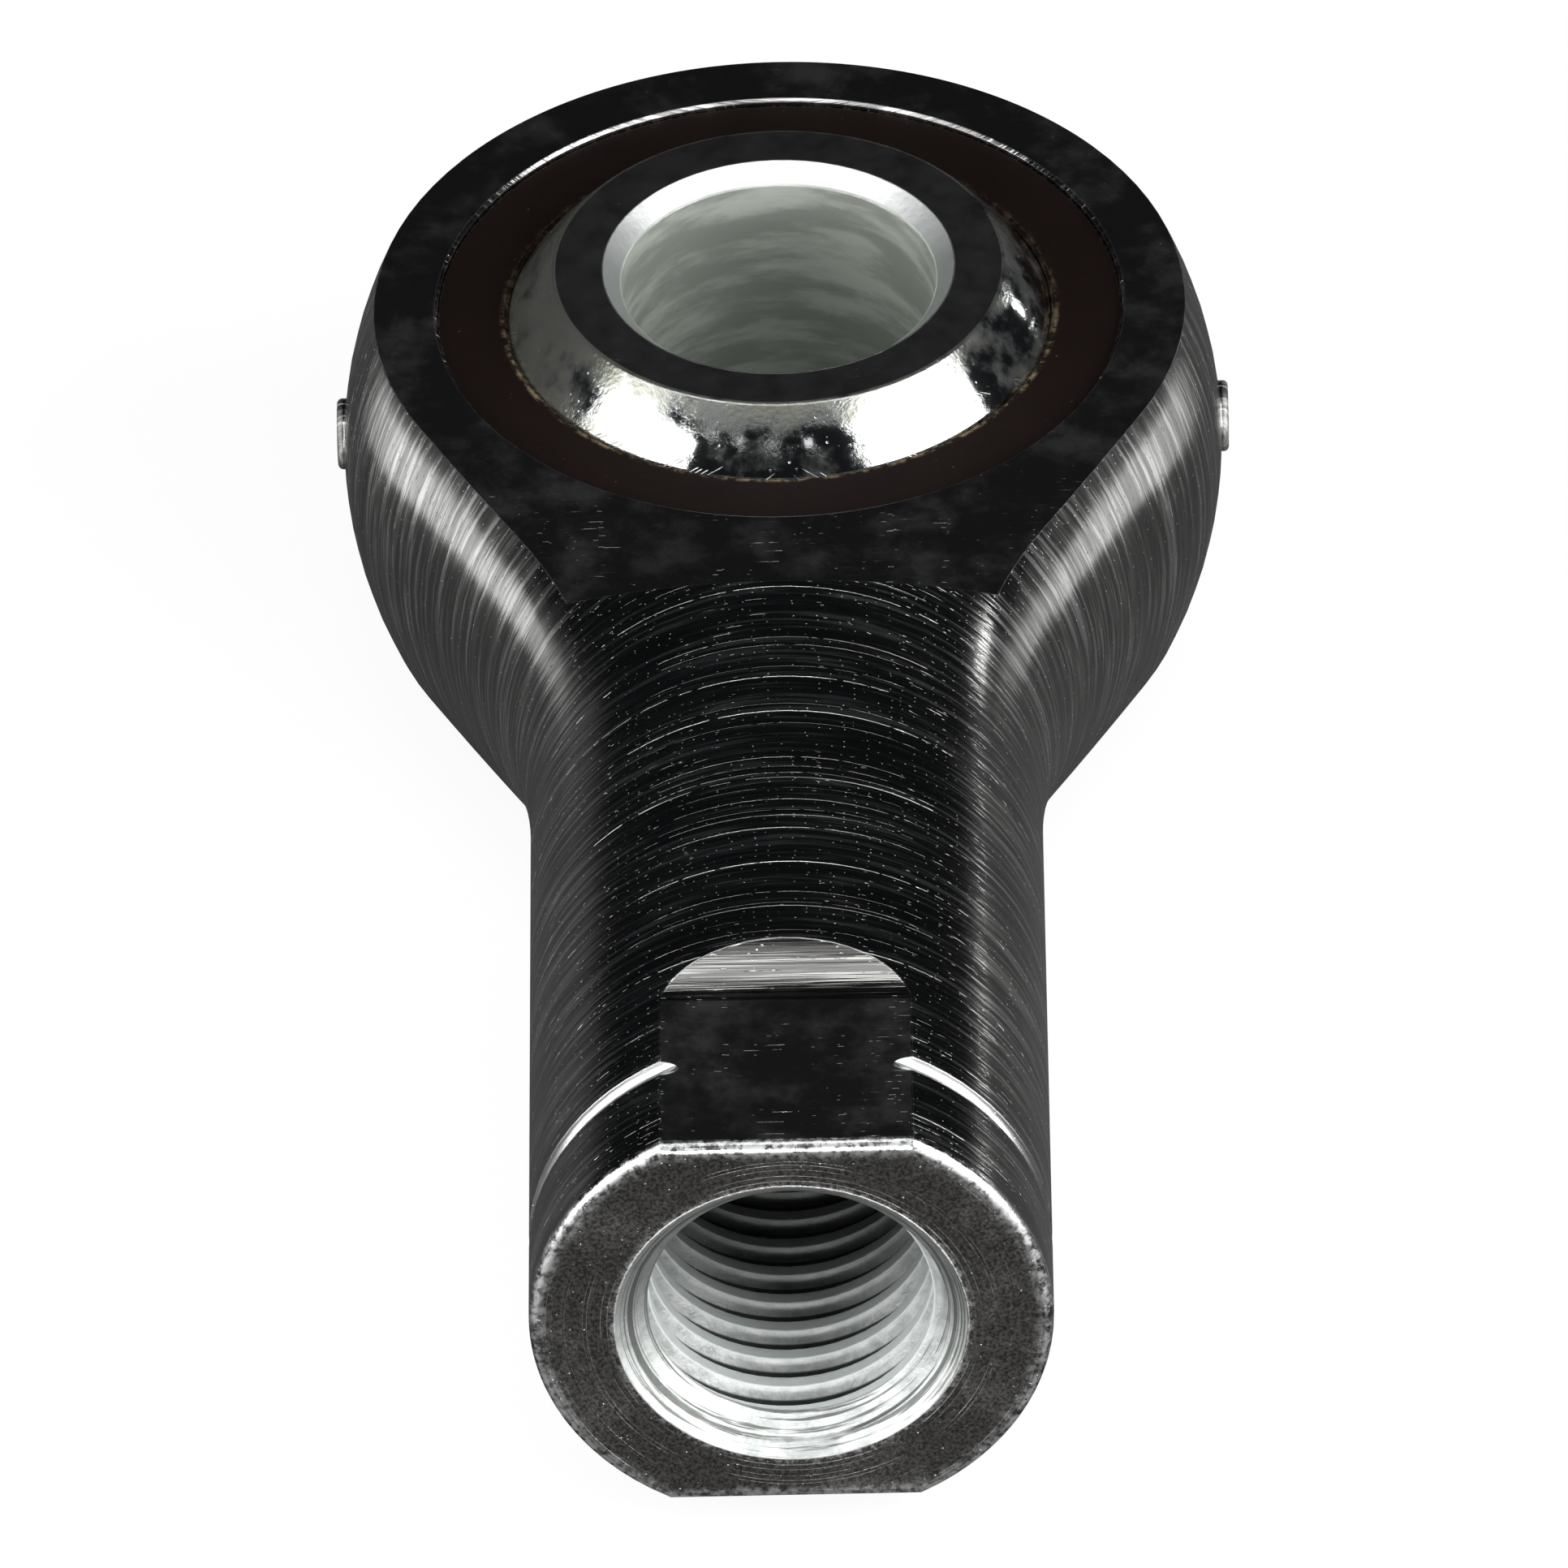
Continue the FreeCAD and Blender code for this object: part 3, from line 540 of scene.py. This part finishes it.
def ball_colour(g, place, on, mark):
    """Chrome, hazy where the film is; the bore's chamfers get painted shade, darker toward the shank.
    """
    y = g.split(place)[1]
    colour = g.mix_colour(mark["film"], CHROME, HAZY_CHROME)
    # Painted shade: the chamfer is darkened on its side toward the shank.
    chamfer_shade = g.multiply(on["mouth"], g.step(g.add(y, g.noise(place, 0.8, 2)), 3.8, 0.4))
    colour = g.mix_colour(on["mouth"], colour, CHAMFER)
    colour = g.mix_colour(g.multiply(chamfer_shade, 0.75), colour, CHAMFER_SHADE)
    colour = g.mix_colour(on["flat"], colour, DARK_FLAT)
    wall = g.mix_colour(g.step(mark["smear"], 0.40, 0.62), BORE_WALL, BORE_WALL_BRIGHT)
    return g.mix_colour(on["bore"], colour, wall)


def ball_material():
    """Chromed ball: mirror sphere with haze and pits, scratched flats, matt bore."""
    material, g = new_material("chromed_ball")
    place = g.position()
    on = ball_regions(g, place)
    mark = ball_marks(g, place, on)
    rough = g.add(0.06, g.multiply(mark["film"], 0.16), g.multiply(mark["pits"], 0.3),
                  g.multiply(mark["lip_marks"], 0.2), g.multiply(on["mouth"], 0.46),
                  g.multiply(on["bore"], g.add(0.30, g.multiply(mark["smear"], 0.15))),
                  g.multiply(mark["nicks"], 0.35), g.multiply(mark["edge"], 0.10))
    dull = g.add(g.multiply(on["bore"], 0.40), g.multiply(mark["film"], 0.17),
                 g.multiply(on["mouth"], 0.22), g.multiply(on["flat"], mark["cloud"], 0.23))
    surface(g, {"Base Color": ball_colour(g, place, on, mark), "Metallic": g.invert(dull),
                "Roughness": rough,
                "Normal": g.bump(ball_height(g, place, on, mark), 0.01, mark["rounded"]),
                "Specular Tint": g.mix_colour(on["flat"], WHITE, GRAZING_FLAT)})
    return material


# ---------------------------------------------------------------- studio

SURROUNDINGS = (0.010, 0.011, 0.012, 1)
FLOOR_HALF_WIDTH = 1.5
# name, azimuth and elevation, width and height (all in degrees), radiance
SOFT_BOXES = (
    ("left_box", -119, 15.5, 42, 37, 4.2),
    ("right_box", 118, 21, 50, 48, 4.2),
    ("front_box", 180, 8, 100, 22, 0.7),
    ("bore_lamp", 180, 9, 14, 8, 20.0),
    ("front_sheet", 180, 56, 60, 26, 0.3),
    ("streak_lamp", 51, 2, 2, 3, 18.0),
)
SMALL_LAMP_AZIMUTHS = (-148, -160, -176, 168)


def toward(azimuth, elevation):
    """Unit vector to a compass place round the object: 0 is +Y, 90 is +X."""
    a, e = math.radians(azimuth), math.radians(elevation)
    return Vector((math.sin(a) * math.cos(e), math.cos(a) * math.cos(e), math.sin(e)))


def panel(name, centre, target, width, height, radiance):
    """A rectangular light that faces a target; the camera does not see it."""
    light = bpy.data.lights.new(name, "AREA")
    light.shape = "RECTANGLE"
    light.size, light.size_y = width, height
    light.energy = radiance * math.pi * width * height
    holder = bpy.data.objects.new(name, light)
    bpy.context.scene.collection.objects.link(holder)
    holder.location = centre
    holder.rotation_mode = "QUATERNION"
    holder.rotation_quaternion = (centre - target).to_track_quat("Z", "Y")
    holder.visible_camera = False
    return holder


def soft_box(name, azimuth, elevation, width, height, radiance, distance=0.45):
    """A light that covers width by height degrees as the ball sees it."""
    across, up = (2 * distance * math.tan(math.radians(angle / 2)) for angle in (width, height))
    return panel(name, toward(azimuth, elevation) * distance, Vector(), across, up, radiance)


def make_lights():
    for box in SOFT_BOXES:
        soft_box(*box)
    overhead = Vector((0, -36, 85)) * MM
    panel("top_box", overhead, Vector((0, -36, 0)) * MM, 220 * MM, 42 * MM, 1.9)
    for azimuth in SMALL_LAMP_AZIMUTHS:
        soft_box("small_lamp", azimuth, 36, 3, 3, 1.2)
    # small low cards beside the neck, seen only as reflections in the head's sides
    for name, side, radiance in (("left_card", -1, 0.13), ("right_card", 1, 0.10)):
        centre = Vector((18 * side, -1.5, 0)) * MM
        card = panel(name, centre, centre - toward(70 * side, -17), 10 * MM, 2.7 * MM, radiance)
        card.data.spread = math.radians(56)
        card.visible_diffuse = False


def make_world():
    """Dark surroundings for the metal to mirror; pale where the camera looks past the floor."""
    world = bpy.data.worlds.new("studio")
    bpy.context.scene.world = world
    world.use_nodes = True
    g = Graph(world.node_tree)
    seen = g.node("ShaderNodeLightPath").outputs["Is Camera Ray"]
    colour = g.mix_colour(seen, SURROUNDINGS, WHITE)
    background = g.node("ShaderNodeBackground", {"Color": colour, "Strength": 1.0})
    g.node("ShaderNodeOutputWorld", {"Surface": background.outputs[0]})


def make_floor():
    """A plain pale floor that looks darker in the metal than it does to the camera."""
    half = FLOOR_HALF_WIDTH
    mesh = bpy.data.meshes.new("floor")
    mesh.from_pydata([(-half, -half, 0), (half, -half, 0), (half, half, 0), (-half, half, 0)], [],
                     [(0, 1, 2, 3)])
    floor = bpy.data.objects.new("floor", mesh)
    bpy.context.scene.collection.objects.link(floor)
    floor.location.z = cad_box[0].z
    material, g = new_material("pale_floor")
    seen = g.node("ShaderNodeLightPath").outputs["Is Camera Ray"]
    pale = g.node("ShaderNodeBsdfDiffuse", {"Color": (0.9, 0.9, 0.9, 1)}).outputs[0]
    glow = g.node("ShaderNodeEmission", {"Color": WHITE, "Strength": 1.12}).outputs[0]
    lit = g.node("ShaderNodeMixShader", {0: 0.8, 1: pale, 2: glow}).outputs[0]
    _, y, _ = g.split(g.position())
    shade = g.mix(g.step(y, -26.0, -34.0), 0.14, 0.045)
    dim = g.node("ShaderNodeBsdfDiffuse", {"Color": g.join(shade, shade, shade)}).outputs[0]
    both = g.node("ShaderNodeMixShader", {0: seen, 1: dim, 2: lit}).outputs[0]
    g.node("ShaderNodeOutputMaterial", {"Surface": both})
    mesh.materials.append(material)


def make_camera():
    """Perspective camera, turned by its roll about the line of sight."""
    a, e = math.radians(CAMERA_AZIMUTH), math.radians(CAMERA_ELEVATION)
    back = Vector((math.sin(a) * math.cos(e), -math.cos(a) * math.cos(e), math.sin(e)))
    right = Vector((math.cos(a), math.sin(a), 0))
    up = back.cross(right)
    axes = Matrix((right, up, back)).transposed().to_4x4()
    data = bpy.data.cameras.new("camera")
    data.sensor_width = SENSOR
    data.lens = SENSOR * CAMERA_DISTANCE / PICTURE_WIDTH
    data.shift_x, data.shift_y = SHIFT_X, SHIFT_Y
    data.clip_start, data.clip_end = 0.01, 10.0
    camera = bpy.data.objects.new("camera", data)
    bpy.context.scene.collection.objects.link(camera)
    camera.matrix_world = (Matrix.Translation(CAMERA_TARGET + back * CAMERA_DISTANCE) @ axes
                           @ Matrix.Rotation(math.radians(CAMERA_ROLL), 4, "Z"))
    bpy.context.scene.camera = camera


# ---------------------------------------------------------------- scene

def dress(node, material):
    """Give a CAD node its material."""
    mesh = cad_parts[node].data
    mesh.materials.clear()
    mesh.materials.append(material)


dress("housing", housing_material())
dress("race", race_material())
dress("ball", ball_material())
make_world()
make_floor()
make_lights()
make_camera()
bpy.context.scene.view_settings.view_transform = "Standard"
